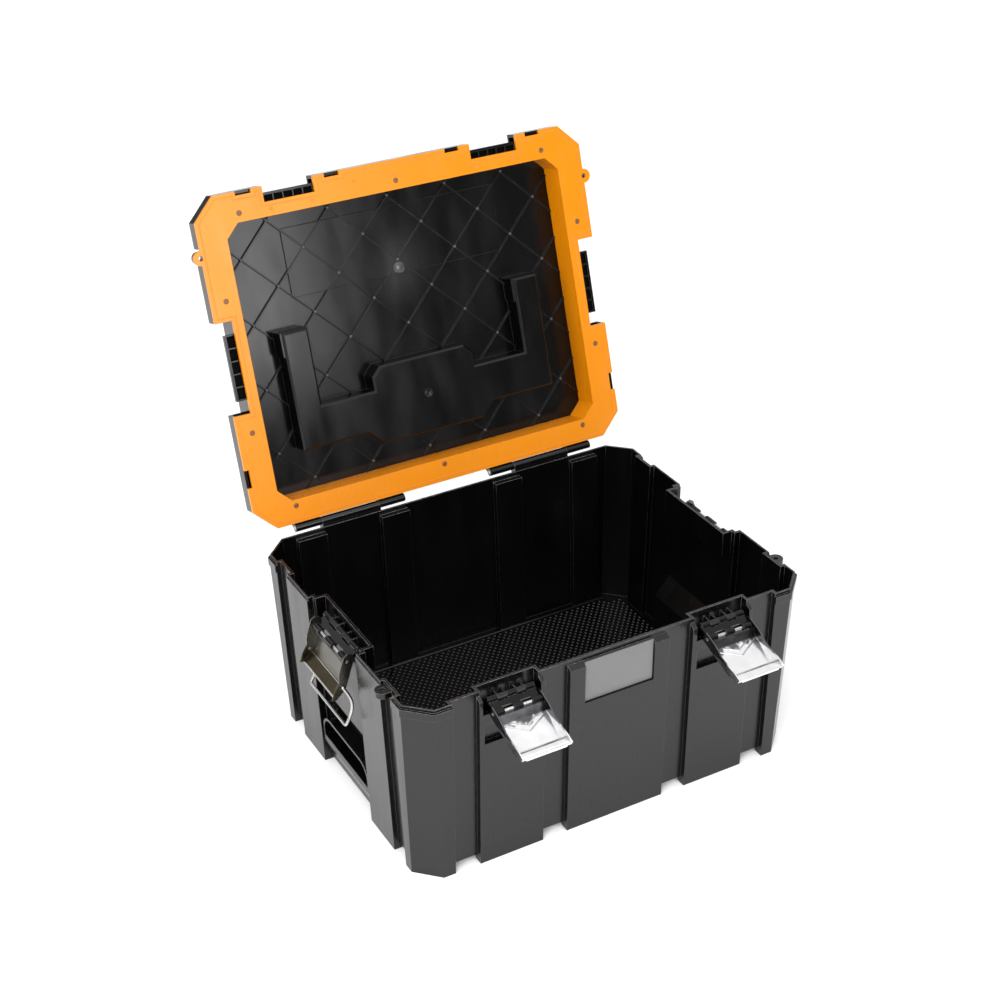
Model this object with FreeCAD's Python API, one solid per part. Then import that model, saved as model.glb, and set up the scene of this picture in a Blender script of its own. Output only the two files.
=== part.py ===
"""Stackable toolbox: moulded tub, hinged lid with a screwed frame, folding handle and four draw latches.

Millimetres, +Z up, X along the length, front towards -Y. Heights below count from the plane of the feet. The
saved pieces are lowered so that the origin is the middle of the floor's underside, the face that rests on the
box below. The lid is saved open on its stop, with the latches undone.
"""

import FreeCAD
import Part
import math
import os

V = FreeCAD.Vector

# Overall size
LENGTH = 440.0
DEPTH = 344.0
RIM_Z = 202.0
CORNER = 23.0
DRAFT_INSET = 6.3
WALL = 2.8

# Base of the tub
FOOT_H = 8.0
FOOT_THICK = 11.0
FLOOR_THICK = 3.0

# Front and back walls: raised panels with channels between them
FRONT_SETBACK = 6.0
PANEL_TOP_DOWN = 5.0
PANEL_BEVEL = 3.5
CENTRE_PANEL_HALF = 55.0
LATCH_PANEL_IN = 82.0
LATCH_PANEL_OUT = 151.0
CORNER_PANEL_IN = 178.0
BACK_CHANNEL_DOWN = 8.0
PANEL_SKIN = 2.5

# Side walls: channels near the corners and a recess in the middle
SIDE_CHANNEL_IN = 106.0
SIDE_CHANNEL_OUT = 131.0
SIDE_CHANNEL_DEEP = 5.3
SIDE_RECESS_HALF = 55.0
SIDE_RECESS_DEEP = 7.0

# Rim
LIP_THICK = 1.5
LIP_H = 3.5
BAND_PROUD = 1.2
BAND_H = 8.5

# Hand-hold in each side wall
GRIP_HALF = 50.0
GRIP_SILL_Z = 37.0
GRIP_ARCH_Z = 61.0
GRIP_ARCH_R = 16.0
GRIP_LIP = 3.0
GRIP_TOP_Z = 92.0
GRIP_DEEP = 27.0
STRIP_FOOT_DEEP = 6.5

# Padlock eyes
EYE_OUT = 0.5
EYE_Y = -114.5
EYE_R = 7.5
EYE_HOLE_R = 2.6
EYE_THICK = 6.0
EYE_DOWN = 3.0

# Label card
LABEL_HALF = 38.5
LABEL_DOWN = 51.5
LABEL_DEEP = 3.5
LABEL_THICK = 1.0
LABEL_GAP = 0.4

# Lid
SEAT_GAP = 0.3
LID_OPEN_DEG = 107.0
FRAME_THICK = 3.5
FLANGE_H = 18.0
SKIN = 3.0
LID_H = 35.0
DOME_SIDE_IN = 18.5
DOME_FRONT_IN = 16.0
DOME_BACK_IN = 15.0
DOME_CORNER = 20.0
OPENING_SIDE_IN = 30.0
OPENING_FRONT_IN = 30.5
OPENING_BACK_IN = 24.5
OPENING_CORNER = 14.0
FRAME_WALL = 2.5
FRAME_WALL_GAP = 0.5

# Notches in the lid's edge
FRONT_NOTCH_HALF = 27.6
SIDE_NOTCH_HALF = 48.0
STEP_DEEP = 4.2
STEP_SPANS = ((60.5, 77.0), (156.5, 173.5))
REAR_NOTCH_Y0 = 104.5
REAR_NOTCH_Y1 = 123.5
REAR_NOTCH_DEEP = 5.0
CATCH_UP = 8.3
CATCH_H = 4.6
CATCH_BAR = 2.6
CATCH_RIB = 1.6
CATCH_ROOF = 1.4
CATCH_RIBS = 6
FRONT_CATCH_IN = 7.0
SIDE_CATCH_IN = 7.6
SIDE_CATCH_HALF = 34.0

# Hinges
HINGE_OUT = 5.5
HINGE_UP = 3.5
HINGE_X0 = 52.0
HINGE_X1 = 178.0
HINGE_BARREL_R = 4.3
HINGE_PIN_R = 2.0
HINGE_GAP = 0.5
HINGE_LID_LENGTH = 29.0
HINGE_BRACKET_DOWN = 21.5
RUN_CLEAR = 0.06
BORE_SIDES = 8
KNUCKLE_SIDES = 12

# Label panel pressed into the lid's top
TOP_PANEL_HALF = 120.0
TOP_PANEL_Y0 = -120.5
TOP_PANEL_Y1 = -55.0
TOP_PANEL_DEEP = 1.6

# Diagonal ribs under the lid's top
RIB_PITCH = 68.0
RIB_W = 1.3
RIB_H = 2.8
RIB_CROSS_Y = -135.0
RIB_CLEAR = 0.4

# Carry handle and its recess
RECESS_DEEP = 23.3
RECESS_WALL = 2.5
RECESS_BEVEL = 2.0
ARM_OUT = 149.5
ARM_IN = 121.0
ARM_FRONT_Y = -21.5
BAR_FRONT_Y = 59.7
BAR_BACK_Y = 102.4
FINGER_HALF = 60.0
FINGER_FRONT_Y = 35.0
FINGER_BACK_Y = 118.0
FINGER_BEVEL = 10.0
HANDLE_CLEAR = 1.2
HANDLE_SWING_CLEAR = 1.4
HANDLE_THICK = 16.0
HANDLE_PIVOT_Y = -9.0
HANDLE_PIN_R = 3.0
HANDLE_EDGE_R = 3.0
PIVOT_BOSS = 2.0
PIVOT_BOSS_LONG = 25.0

# Latches: a link hinged in the rim's pocket carries a stamped lever
FRONT_LATCH_X = 117.0
FRONT_PIVOT_IN = 4.0
SIDE_PIVOT_IN = 12.0
PIVOT_DOWN = 11.0
LINK_REACH = 15.0
KNUCKLE_R = 3.5
LATCH_KNUCKLES = 5
LINK_WEB = 2.4
LINK_WEB_LOW = 2.0
LINK_PIN_R = 1.5
LEVER_PIN_R = 1.5
LEVER_PIN_PROUD = 0.8
SHEET = 1.2
PLATE_DROP = 6.0
PLATE_START = 10.6
RAMP_LENGTH = 9.0
RAMP_DEG = 45.0
WAVE_TIP = (0.8, 4.5)
WAVE_OUTER = ((4.0, 4.6), (-6.0, 2.6))
WAVE_INNER = [(24.0, 2.0), (18.0, 4.2)]
CREST_START = 12.0
CREST_END = 4.0
CREST_PROUD = 1.7
NOSE = [(-8.0, 2.0), (-8.0, -3.0)]
NOSE_HEEL = 5.0
FRONT_LEVER_W = 52.0
FRONT_PLATE_END = 43.0
SIDE_LEVER_W = 76.0
SIDE_PLATE_END = 30.0
LIP_FACET = 14.0
LIP_FACET_DEG = 28.0
LIP_HEM = 4.0
LIP_HEM_IN = 4.8
LIP_LAP = 0.3
FRONT_LINK_DEG = 204.0
FRONT_LEVER_DEG = 200.0
SIDE_LINK_DEG = 212.0
SIDE_LEVER_DEG = 251.0
CLAW_RISE = 13.5
CLAW_THICK = 4.0
CLAW_REACH = 16.5

# Pockets in the rim for the latches
FRONT_POCKET_HALF = 30.5
FRONT_POCKET_DEEP = 14.5
SIDE_POCKET_HALF = 50.0
SIDE_POCKET_DEEP = 18.0
POCKET_SILL_DOWN = 24.0
POCKET_FLOOR_DOWN = 33.5
POCKET_SILL = 1.8
POCKET_RIB = 1.6
POCKET_RIB_UP = 3.15
POCKET_RIB_DOWN = 10.5
FINGER_RECESS_DOWN = 36.5
FINGER_RECESS_H = 21.5
FINGER_RECESS_HALF = 29.0
FINGER_RECESS_DEEP = 7.5

# Wire bail of each side latch
BAIL_R = 1.6
BAIL_U = 27.3
BAIL_V = -1.8
BAIL_HALF = 41.0
BAIL_DROP = 44.0
BAIL_BOW = 8.0
BAIL_STEPS = 3
BAIL_SIDE_GAP = 0.4

HALF_X = LENGTH / 2
HALF_Y = DEPTH / 2
DRAFT = DRAFT_INSET / RIM_Z
PANEL_TOP_Z = RIM_Z - PANEL_TOP_DOWN
BACK_CHANNEL_TOP_Z = RIM_Z - BACK_CHANNEL_DOWN
EYE_X = HALF_X + EYE_OUT
EYE_TOP_Z = RIM_Z - EYE_DOWN
LABEL_Z0 = RIM_Z - LABEL_DOWN
PIVOT_Z = RIM_Z - PIVOT_DOWN
POCKET_SILL_Z = RIM_Z - POCKET_SILL_DOWN
POCKET_FLOOR_Z = RIM_Z - POCKET_FLOOR_DOWN
FINGER_RECESS_Z1 = RIM_Z - FINGER_RECESS_DOWN
FINGER_RECESS_Z0 = FINGER_RECESS_Z1 - FINGER_RECESS_H
HINGE_Y = HALF_Y + HINGE_OUT
HINGE_Z = RIM_Z + HINGE_UP
SEAT_Z = RIM_Z + SEAT_GAP
CATCH_TOP_Z = SEAT_Z + CATCH_UP
OPENING_HALF = HALF_X - OPENING_SIDE_IN
OPENING_FRONT = -HALF_Y + OPENING_FRONT_IN
OPENING_BACK = HALF_Y - OPENING_BACK_IN
FRAME_TOP = SEAT_Z + FRAME_THICK
FLANGE_TOP = SEAT_Z + FLANGE_H
LID_TOP = SEAT_Z + LID_H
DOME_X = HALF_X - DOME_SIDE_IN
DOME_FRONT = -HALF_Y + DOME_FRONT_IN
DOME_BACK = HALF_Y - DOME_BACK_IN
RECESS_FLOOR = LID_TOP - RECESS_DEEP
FAR = 600.0
OVER = 1.0


def inset(z):
    """How far the drafted walls have moved inwards at height z."""
    return DRAFT * (RIM_Z - z)


def block(x0, x1, y0, y1, z0, z1):
    return Part.makeBox(x1 - x0, y1 - y0, z1 - z0, V(x0, y0, z0))


def rod(centre, axis, radius, length):
    """A cylinder with its middle at centre."""
    direction = V(*axis)
    direction.normalize()
    return Part.makeCylinder(radius, length, V(*centre) - direction * (length / 2), direction)


def face(points):
    return Part.Face(Part.makePolygon(points + [points[0]]))


def prism(outline, z0, z1):
    """An upright prism on an outline of (x, y) points."""
    return face([V(x, y, z0) for x, y in outline]).extrude(V(0, 0, z1 - z0))


def prism_x(outline, x0, x1):
    """A prism along X on an outline of (y, z) points."""
    return face([V(x0, y, z) for y, z in outline]).extrude(V(x1 - x0, 0, 0))


def prism_y(outline, y0, y1):
    """A prism along Y on an outline of (x, z) points."""
    return face([V(x, y0, z) for x, z in outline]).extrude(V(0, y1 - y0, 0))


def fuse(shapes):
    shapes = list(shapes)
    whole = shapes[0].multiFuse(shapes[1:]) if len(shapes) > 1 else shapes[0]
    return whole.removeSplitter()


def many_sided(x0, x1, y, z, corner, sides):
    """A prism along X on an even polygon, which keeps few facets where a round shape repeats."""
    outline = []
    for i in range(sides):
        angle = 2 * math.pi * i / sides
        outline.append((y + corner * math.cos(angle), z + corner * math.sin(angle)))
    return prism_x(outline, x0, x1)


def bore(x0, x1, y, z, radius):
    """A hole for a pin along X, whose flats touch the radius."""
    return many_sided(x0, x1, y, z, radius / math.cos(math.pi / BORE_SIDES), BORE_SIDES)


def knuckle(x0, x1, y):
    """A latch knuckle along X, whose corners touch the radius."""
    return many_sided(x0, x1, y, 0, KNUCKLE_R, KNUCKLE_SIDES)


def bent_wire(points, radius):
    """A round wire along straight runs with mitred bends."""
    profile = Part.Wire(Part.makeCircle(radius, points[0], points[1] - points[0]))
    return Part.makePolygon(points).makePipeShell([profile], True, True, 1)


def both_sides(shape):
    """The shape and its mirror image across the middle plane."""
    return [shape, shape.mirror(V(0, 0, 0), V(1, 0, 0))]


def octagon(half_x, y0, y1, corner):
    return [
        (-half_x, y0 + corner),
        (-half_x + corner, y0),
        (half_x - corner, y0),
        (half_x, y0 + corner),
        (half_x, y1 - corner),
        (half_x - corner, y1),
        (-half_x + corner, y1),
        (-half_x, y1 - corner),
    ]


def drafted_octagon(shrink, z0, z1):
    """The box's body between two heights, with its walls moved inwards by shrink."""
    wires = []
    for z in (z0, z1):
        in_by = shrink + inset(z)
        corner = CORNER - shrink * (2 - math.sqrt(2))
        outline = octagon(HALF_X - in_by, -HALF_Y + in_by, HALF_Y - in_by, corner)
        points = [V(x, y, z) for x, y in outline]
        wires.append(Part.makePolygon(points + [points[0]]))
    return Part.makeLoft(wires, True, True)


def beyond_front(deep, x0, x1, z0, z1):
    """Everything in front of the front wall's plane moved back by deep."""
    outline = [
        (-HALF_Y + inset(z0) + deep, z0),
        (-HALF_Y + inset(z1) + deep, z1),
        (-HALF_Y - FAR, z1),
        (-HALF_Y - FAR, z0),
    ]
    return prism_x(outline, x0, x1)


def beyond_back(deep, x0, x1, z0, z1):
    return beyond_front(deep, x0, x1, z0, z1).mirror(V(0, 0, 0), V(0, 1, 0))


def beyond_side(deep, y0, y1, z0, z1):
    """Everything outside the right wall's plane moved in by deep."""
    outline = [
        (HALF_X - inset(z0) - deep, z0),
        (HALF_X - inset(z1) - deep, z1),
        (HALF_X + FAR, z1),
        (HALF_X + FAR, z0),
    ]
    return prism_y(outline, y0, y1)


def arch(half, sill, top, radius, x0, x1):
    """A prism along X with an arched outline: straight sill, rounded upper corners."""
    lower_left = V(x0, -half, sill)
    lower_right = V(x0, half, sill)
    right = V(x0, half, top - radius)
    upper_right = V(x0, half - radius, top)
    upper_left = V(x0, radius - half, top)
    left = V(x0, -half, top - radius)
    bend = radius * (1 - math.sqrt(0.5))
    edges = [
        Part.makeLine(lower_left, lower_right),
        Part.makeLine(lower_right, right),
        Part.Arc(right, V(x0, half - bend, top - bend), upper_right).toShape(),
        Part.makeLine(upper_right, upper_left),
        Part.Arc(upper_left, V(x0, bend - half, top - bend), left).toShape(),
        Part.makeLine(left, lower_left),
    ]
    return Part.Face(Part.Wire(edges)).extrude(V(x1 - x0, 0, 0))


def save(name, shape):
    """Writes a piece with the floor's underside at zero height."""
    lowered = shape.copy()
    lowered.translate(V(0, 0, -FOOT_H))
    lowered.exportStep(f"parts/{name}.step")


# Tub


def wall_hollows(grow):
    """The channels, recesses and pockets of all four walls, grown by a wall thickness for the inside."""
    low = -OVER
    high = RIM_Z + OVER
    hollows = [beyond_front(FRONT_SETBACK + grow, -CORNER_PANEL_IN - grow, CORNER_PANEL_IN + grow, low, high)]
    for x0, x1 in ((CENTRE_PANEL_HALF, LATCH_PANEL_IN), (LATCH_PANEL_OUT, CORNER_PANEL_IN)):
        top = BACK_CHANNEL_TOP_Z + grow
        hollows += both_sides(beyond_back(FRONT_SETBACK + grow, x0 - grow, x1 + grow, low, top))
    for sign in (-1, 1):
        ends = sorted((sign * (SIDE_CHANNEL_IN - grow), sign * (SIDE_CHANNEL_OUT + grow)))
        hollows += both_sides(beyond_side(SIDE_CHANNEL_DEEP + grow, ends[0], ends[1], low, high))
    recess_half = SIDE_RECESS_HALF + grow
    hollows += both_sides(beyond_side(SIDE_RECESS_DEEP + grow, -recess_half, recess_half, low, high))
    hollows += both_sides(side_pocket(grow))
    hollows += both_sides(front_pocket(grow))
    return hollows


def front_pocket(grow):
    """The pocket of the right front latch, open at the rim and in front above its sill."""
    x0 = FRONT_LATCH_X - FRONT_POCKET_HALF - grow
    x1 = FRONT_LATCH_X + FRONT_POCKET_HALF + grow
    back = -HALF_Y + FRONT_POCKET_DEEP + grow
    sill = -HALF_Y + inset(POCKET_SILL_Z) + POCKET_SILL - grow
    mouth = block(x0, x1, -HALF_Y - FAR, back, POCKET_SILL_Z - grow, RIM_Z + OVER)
    well = block(x0, x1, sill, back, POCKET_FLOOR_Z - grow, RIM_Z + OVER)
    return mouth.fuse(well)


def side_pocket(grow):
    """The pocket of the right side latch."""
    half = SIDE_POCKET_HALF + grow
    back = HALF_X - SIDE_POCKET_DEEP - grow
    return block(back, HALF_X + FAR, -half, half, POCKET_SILL_Z - grow, RIM_Z + OVER)


def grip_bulge():
    """The body of the right hand-hold inside the tub, with a sloping top."""
    back = HALF_X - GRIP_DEEP - WALL
    crown = GRIP_TOP_Z + WALL
    front = HALF_X - inset(crown) - SIDE_RECESS_DEEP
    slope_z = GRIP_ARCH_Z + GRIP_LIP + 2 * WALL
    outline = [(back, 0), (back, slope_z), (front, crown), (HALF_X + FAR, crown), (HALF_X + FAR, 0)]
    half = GRIP_HALF + WALL
    return prism_y(outline, -half, half)


def grip_hollow():
    """Finger space under the arched lip and the scoop above it, right side."""
    back = HALF_X - GRIP_DEEP
    fingers = arch(GRIP_HALF, GRIP_SILL_Z, GRIP_ARCH_Z, GRIP_ARCH_R, back, HALF_X + OVER)
    scoop_z = GRIP_ARCH_Z + GRIP_LIP
    crown = GRIP_TOP_Z
    recess = HALF_X - inset(crown) - SIDE_RECESS_DEEP
    outline = [
        (back + WALL, 0),
        (back + WALL, scoop_z + WALL),
        (recess, crown),
        (HALF_X + OVER, crown),
        (HALF_X + OVER, 0),
    ]
    scoop = prism_y(outline, -GRIP_HALF - GRIP_LIP, GRIP_HALF + GRIP_LIP)
    lip = arch(GRIP_HALF + GRIP_LIP, 0, scoop_z, GRIP_ARCH_R + GRIP_LIP, back - OVER, HALF_X + 2 * OVER)
    return fingers.fuse(scoop.cut(lip))


def grip_lip():
    """The material round the finger space out to the wall's face, right side."""
    half = GRIP_HALF + GRIP_LIP
    top = GRIP_ARCH_Z + GRIP_LIP
    lip = arch(half, 0, top, GRIP_ARCH_R + GRIP_LIP, HALF_X - GRIP_DEEP, HALF_X + OVER)
    return lip.cut(beyond_side(GRIP_LIP / 2, -FAR, FAR, -OVER, RIM_Z))


def grip_undercut():
    """The raised, sloping bottom edge between the side feet, right side."""
    foot_z = FOOT_H + 2 * WALL
    outline = [
        (HALF_X - inset(GRIP_SILL_Z), GRIP_SILL_Z - WALL),
        (HALF_X - inset(foot_z) - STRIP_FOOT_DEEP, foot_z),
        (HALF_X - inset(foot_z) - STRIP_FOOT_DEEP, -OVER),
        (HALF_X + FAR, -OVER),
        (HALF_X + FAR, GRIP_SILL_Z - WALL),
    ]
    return prism_y(outline, -SIDE_RECESS_HALF, SIDE_RECESS_HALF)


def front_panels():
    """The raised panels of the front wall and the hollows that core them from below."""
    panels = []
    cores = []
    spans = [
        (-CENTRE_PANEL_HALF, CENTRE_PANEL_HALF),
        (LATCH_PANEL_IN, LATCH_PANEL_OUT),
        (-LATCH_PANEL_OUT, -LATCH_PANEL_IN),
    ]
    for x0, x1 in spans:
        shoulder = PANEL_TOP_Z - PANEL_BEVEL
        outline = [
            (-HALF_Y + inset(0), 0),
            (-HALF_Y + inset(shoulder), shoulder),
            (-HALF_Y + inset(PANEL_TOP_Z) + FRONT_SETBACK, PANEL_TOP_Z),
            (-HALF_Y + inset(0) + FRONT_SETBACK + WALL, PANEL_TOP_Z - FRONT_SETBACK),
            (-HALF_Y + inset(0) + FRONT_SETBACK + WALL, 0),
        ]
        panels.append(prism_x(outline, x0, x1))
        core_top = FINGER_RECESS_Z0 - PANEL_SKIN
        core = [
            (-HALF_Y + inset(-OVER) + PANEL_SKIN, -OVER),
            (-HALF_Y + inset(core_top) + PANEL_SKIN, core_top),
            (-HALF_Y + inset(core_top) + FRONT_SETBACK, core_top),
            (-HALF_Y + inset(-OVER) + FRONT_SETBACK, -OVER),
        ]
        cores.append(prism_x(core, x0 + PANEL_SKIN, x1 - PANEL_SKIN))
    return panels, cores


def under_floor():
    """What is missing below the floor: the space inside the ring of feet and the gaps between the feet."""
    in_by = FOOT_THICK + inset(FOOT_H)
    corner = CORNER - FOOT_THICK * (2 - math.sqrt(2))
    ring = prism(octagon(HALF_X - in_by, -HALF_Y + in_by, HALF_Y - in_by, corner), -OVER, FOOT_H)
    gaps = [ring]
    for x0, x1 in ((CENTRE_PANEL_HALF, LATCH_PANEL_IN), (LATCH_PANEL_OUT, CORNER_PANEL_IN)):
        gaps += both_sides(block(x0, x1, -HALF_Y - OVER, HALF_Y + OVER, -OVER, FOOT_H))
    for sign in (-1, 1):
        y0, y1 = sorted((sign * SIDE_CHANNEL_IN, sign * SIDE_CHANNEL_OUT))
        gaps.append(block(-HALF_X - OVER, HALF_X + OVER, y0, y1, -OVER, FOOT_H))
    gaps.append(block(-HALF_X - OVER, HALF_X + OVER, -SIDE_RECESS_HALF, SIDE_RECESS_HALF, -OVER, FOOT_H))
    return gaps


def finger_recess():
    """Room for a fingertip behind the right front lever."""
    x0 = FRONT_LATCH_X - FINGER_RECESS_HALF
    x1 = FRONT_LATCH_X + FINGER_RECESS_HALF
    y1 = -HALF_Y + FINGER_RECESS_DEEP
    return block(x0, x1, -HALF_Y - OVER, y1, FINGER_RECESS_Z0, FINGER_RECESS_Z1)


def label_recess():
    """The card's recess in the middle panel, open at the panel's top."""
    return beyond_front(LABEL_DEEP, -LABEL_HALF, LABEL_HALF, LABEL_Z0, PANEL_TOP_Z + OVER)


def rim_step():
    """The ring taken off outside the thin lip on top of the rim."""
    low = RIM_Z - LIP_H
    outer = drafted_octagon(-OVER, low, RIM_Z + OVER)
    inner = drafted_octagon(WALL - LIP_THICK, low - OVER, RIM_Z + 2 * OVER)
    return outer.cut(inner)


def rim_bands():
    """Thickened bands just below the lip at the four corners."""
    z1 = RIM_Z - LIP_H
    z0 = z1 - BAND_H
    ring = drafted_octagon(-BAND_PROUD, z0, z1).cut(drafted_octagon(WALL / 2, z0 - OVER, z1 + OVER))
    bands = []
    for sign in (-1, 1):
        y0, y1 = sorted((sign * SIDE_CHANNEL_OUT, sign * FAR))
        bands += both_sides(ring.common(block(CORNER_PANEL_IN, FAR, y0, y1, z0, z1)))
    return bands


def padlock_eye(z0, z1, root):
    """A pierced tab on the right edge that reaches in to root."""
    tab = Part.makeCylinder(EYE_R, z1 - z0, V(EYE_X, EYE_Y, z0))
    neck = block(root, EYE_X, EYE_Y - EYE_R, EYE_Y + EYE_R, z0, z1)
    return tab.fuse(neck)


def padlock_hole(z0, z1):
    return Part.makeCylinder(EYE_HOLE_R, z1 - z0 + 2 * OVER, V(EYE_X, EYE_Y, z0 - OVER))


def hinge_spans(on_lid):
    """X ranges of the right hinge group's knuckles: two short ones on the lid, a long one on the tub."""
    if on_lid:
        return [(HINGE_X0, HINGE_X0 + HINGE_LID_LENGTH), (HINGE_X1 - HINGE_LID_LENGTH, HINGE_X1)]
    end = HINGE_LID_LENGTH + HINGE_GAP
    return [(HINGE_X0 + end, HINGE_X1 - end)]


def tub_hinges():
    """Knuckles and brackets of the right hinge group on the back wall."""
    reach = HINGE_Y + HINGE_BARREL_R
    low = RIM_Z - HINGE_BRACKET_DOWN
    outline = [
        (HALF_Y - WALL, low),
        (HALF_Y, low),
        (reach, RIM_Z - HINGE_BARREL_R),
        (reach, HINGE_Z),
        (HINGE_Y - HINGE_BARREL_R, HINGE_Z),
        (HALF_Y, RIM_Z - LIP_H),
        (HALF_Y - WALL, RIM_Z - LIP_H),
    ]
    shapes = []
    for x0, x1 in hinge_spans(False):
        shapes.append(prism_x(outline, x0, x1))
        shapes.append(rod(((x0 + x1) / 2, HINGE_Y, HINGE_Z), (1, 0, 0), HINGE_BARREL_R, x1 - x0))
    return shapes


def make_tub():
    body = drafted_octagon(0, 0, RIM_Z)
    panels, cores = front_panels()
    body = body.cut(wall_hollows(0)[0])
    body = fuse([body] + panels)
    body = body.cut(wall_hollows(0)[1:])
    room = drafted_octagon(WALL, FOOT_H + FLOOR_THICK, RIM_Z + OVER)
    room = room.cut(wall_hollows(WALL) + both_sides(grip_bulge()))
    body = body.fuse(both_sides(grip_lip()))
    body = body.cut([room] + under_floor() + cores)
    body = body.cut(both_sides(grip_hollow()) + both_sides(grip_undercut()))
    body = body.cut(both_sides(finger_recess()) + [label_recess(), rim_step()])
    root = HALF_X - SIDE_CHANNEL_DEEP - WALL
    eye = padlock_eye(EYE_TOP_Z - EYE_THICK, EYE_TOP_Z, root)
    extras = both_sides(eye) + rim_bands()
    for shape in tub_hinges():
        extras += both_sides(shape)
    for latch in LATCHES:
        extras += [latch.place(shape) for shape in latch.tub_knuckles()]
    body = fuse([body] + extras)
    holes = both_sides(padlock_hole(EYE_TOP_Z - EYE_THICK, EYE_TOP_Z))
    holes += both_sides(hinge_bore(RUN_CLEAR / 2))
    holes += [latch.place(latch.link_bore(RUN_CLEAR / 2)) for latch in LATCHES]
    return body.cut(holes)


def make_label():
    """A flat card standing on the recess's back face."""
    low = LABEL_Z0 + LABEL_GAP
    high = PANEL_TOP_Z - LABEL_GAP
    outline = [
        (-HALF_Y + inset(low) + LABEL_DEEP, low),
        (-HALF_Y + inset(high) + LABEL_DEEP, high),
        (-HALF_Y + inset(high) + LABEL_DEEP - LABEL_THICK, high),
        (-HALF_Y + inset(low) + LABEL_DEEP - LABEL_THICK, low),
    ]
    half = LABEL_HALF - LABEL_GAP
    return prism_x(outline, -half, half)


# Hinge pins and the lid's turn


def hinge_pin():
    middle = (HINGE_X0 + HINGE_X1) / 2
    return rod((middle, HINGE_Y, HINGE_Z), (1, 0, 0), HINGE_PIN_R, HINGE_X1 - HINGE_X0)


def hinge_bore(clear):
    return bore(HINGE_X0, HINGE_X1, HINGE_Y, HINGE_Z, HINGE_PIN_R + clear)


def open_lid(shape):
    """Turns a piece of the closed lid to the open position."""
    turned = shape.copy()
    turned.rotate(V(0, HINGE_Y, HINGE_Z), V(1, 0, 0), -LID_OPEN_DEG)
    return turned


# Lid


def lid_edge_notches(z0, z1):
    """The latch notches through the lid's edge."""
    front = block(
        FRONT_LATCH_X - FRONT_NOTCH_HALF,
        FRONT_LATCH_X + FRONT_NOTCH_HALF,
        -HALF_Y - OVER,
        DOME_FRONT,
        z0,
        z1,
    )
    side = block(DOME_X, HALF_X + OVER, -SIDE_NOTCH_HALF, SIDE_NOTCH_HALF, z0, z1)
    return both_sides(front) + both_sides(side)


def eye_relief(z0, z1):
    """Room in the shell's edge beside the padlock eyes."""
    shape = block(EYE_X - EYE_R, HALF_X + FAR, EYE_Y - EYE_R - OVER, EYE_Y + EYE_R + OVER, z0, z1)
    return both_sides(shape)


def handle_outline(grow):
    """Plan of the handle recess: two arms, a cross bar and finger room before and behind it."""
    arm_out = ARM_OUT + grow
    arm_in = ARM_IN - grow
    front = ARM_FRONT_Y - grow
    bar_front = BAR_FRONT_Y - grow
    bar_back = BAR_BACK_Y + grow
    room = FINGER_HALF + grow
    room_front = FINGER_FRONT_Y - grow
    room_back = FINGER_BACK_Y + grow
    bevel = FINGER_BEVEL
    slope = room_back - bar_back
    right = [
        (arm_in, bar_front),
        (arm_in, front),
        (arm_out, front),
        (arm_out, bar_back),
        (room + slope, bar_back),
        (room, room_back),
    ]
    right = [(room - bevel, room_front), (room, room_front + bevel), (room, bar_front)] + right
    left = [(-x, y) for x, y in reversed(right)]
    return right + left


def bevelled_below(shape, size):
    """The shape with the edges of its lowest face bevelled."""
    low = shape.BoundBox.ZMin
    edges = [e for e in shape.Edges if e.BoundBox.ZMax < low + OVER]
    return shape.makeChamfer(size, edges)


def catches():
    """Ribbed catches in the notches: a bar along the edge, tied to the dome by ribs under a thin roof."""
    shapes = []
    z0 = CATCH_TOP_Z - CATCH_H
    roof = CATCH_TOP_Z - CATCH_ROOF
    half = FRONT_NOTCH_HALF
    y0 = -HALF_Y + FRONT_CATCH_IN
    x0 = FRONT_LATCH_X - half
    x1 = FRONT_LATCH_X + half
    front = [block(x0, x1, y0, y0 + CATCH_BAR, z0, CATCH_TOP_Z)]
    front.append(block(x0, x1, y0, DOME_FRONT + OVER, roof, CATCH_TOP_Z))
    for i in range(CATCH_RIBS):
        x = x0 + i * (2 * half - CATCH_RIB) / (CATCH_RIBS - 1)
        front.append(block(x, x + CATCH_RIB, y0, DOME_FRONT + OVER, z0, CATCH_TOP_Z))
    side_x = HALF_X - SIDE_CATCH_IN
    half = SIDE_CATCH_HALF
    side = [block(side_x - CATCH_BAR, side_x, -half, half, z0, CATCH_TOP_Z)]
    side.append(block(DOME_X - OVER, side_x, -half, half, roof, CATCH_TOP_Z))
    for i in range(CATCH_RIBS):
        y = -half + i * (2 * half - CATCH_RIB) / (CATCH_RIBS - 1)
        side.append(block(DOME_X - OVER, side_x, y, y + CATCH_RIB, z0, CATCH_TOP_Z))
    for shape in front + side:
        shapes += both_sides(shape)
    return shapes


def lid_hinges():
    """Knuckles of the right hinge group on the lid's back edge."""
    low = FRAME_TOP
    outline = [
        (HALF_Y - SKIN, low),
        (HALF_Y - SKIN, FLANGE_TOP),
        (HALF_Y, FLANGE_TOP),
        (HINGE_Y, HINGE_Z + HINGE_BARREL_R),
        (HINGE_Y, HINGE_Z),
        (HALF_Y, low),
    ]
    shapes = []
    for x0, x1 in hinge_spans(True):
        shapes.append(prism_x(outline, x0, x1))
        shapes.append(rod(((x0 + x1) / 2, HINGE_Y, HINGE_Z), (1, 0, 0), HINGE_BARREL_R, x1 - x0))
    return shapes


def pivot_bosses():
    """Thicker walls where the handle's pins end, on both sides of each recess arm."""
    shape = block(
        ARM_IN - PIVOT_BOSS,
        ARM_OUT + PIVOT_BOSS,
        ARM_FRONT_Y,
        ARM_FRONT_Y + PIVOT_BOSS_LONG,
        RECESS_FLOOR,
        LID_TOP - SKIN,
    )
    return both_sides(shape)


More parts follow.
